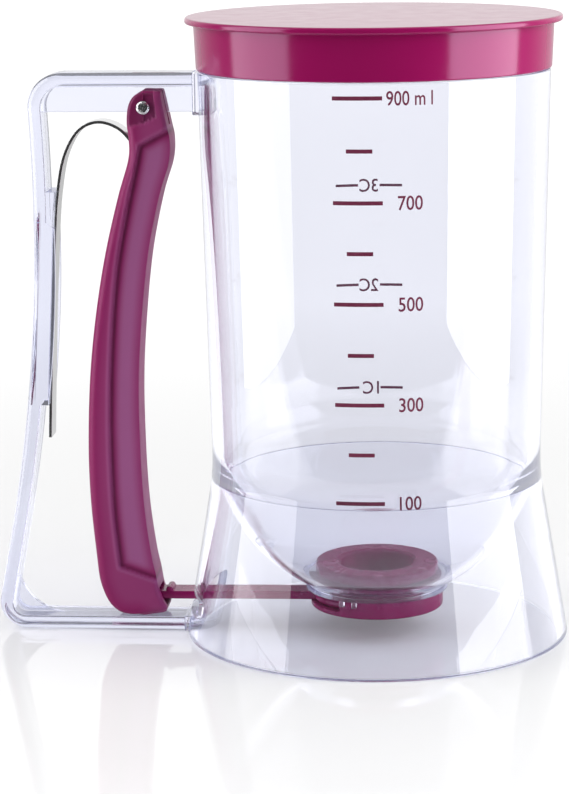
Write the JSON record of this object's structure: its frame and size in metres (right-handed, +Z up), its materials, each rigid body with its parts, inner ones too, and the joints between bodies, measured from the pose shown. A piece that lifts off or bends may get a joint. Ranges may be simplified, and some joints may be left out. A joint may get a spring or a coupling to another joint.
{
  "type": "pancake batter dispenser",
  "caption": "Clear batter jug with a round bowl and flared skirt, a squeeze lever in the handle that slides an outlet valve open, and a press-on lid.",
  "frame": {"origin": "on the jug's axis at the level of the surface it stands on", "axes": "+Z up along the jug's axis; the handle points to -X; the lever swings in the XZ plane, about an axis along Y"},
  "size_m": [0.1725, 0.1152, 0.1854],
  "materials": {
    "clear_plastic": "clear moulded styrene plastic, polished",
    "lid_plastic": "glossy plum-red moulded plastic",
    "lever_plastic": "satin-gloss plum moulded plastic",
    "valve_plastic": "glossy plum moulded plastic",
    "spring_steel": "cold-rolled spring strip",
    "screw_steel": "nickel-plated screw"
  },
  "bodies": {
    "jug": {"jug": "clear_plastic", "handle_frame": "clear_plastic", "return_spring": "spring_steel", "valve_housing": "valve_plastic", "valve_seat": "valve_plastic"},
    "lid": {"lid": "lid_plastic"},
    "lever": {"lever": "lever_plastic", "pivot_screw": "screw_steel"},
    "slider": {"valve_slider": "lever_plastic"}
  },
  "joints": [
    {"name": "lid_lift", "type": "slide", "parent": "jug", "child": "lid", "axis": [0, 0, 1], "range_m": [0, 0.04]},
    {"name": "lever_hinge", "type": "hinge", "parent": "jug", "child": "lever", "pos_m": [-0.0674, 0, 0.1591], "axis": [0, 1, 0], "range_deg": [0, 7.5], "stiffness_Nm_per_rad": 2, "springref_deg": -6.88, "deforming": ["return_spring"]},
    {"name": "valve_slide", "type": "slide", "parent": "jug", "child": "slider", "axis": [-1, 0, 0], "range_m": [0, 0.0196]}
  ],
  "couplings": [
    {"joint": "valve_slide", "follows": "lever_hinge", "m_per_rad": 0.1485}
  ]
}
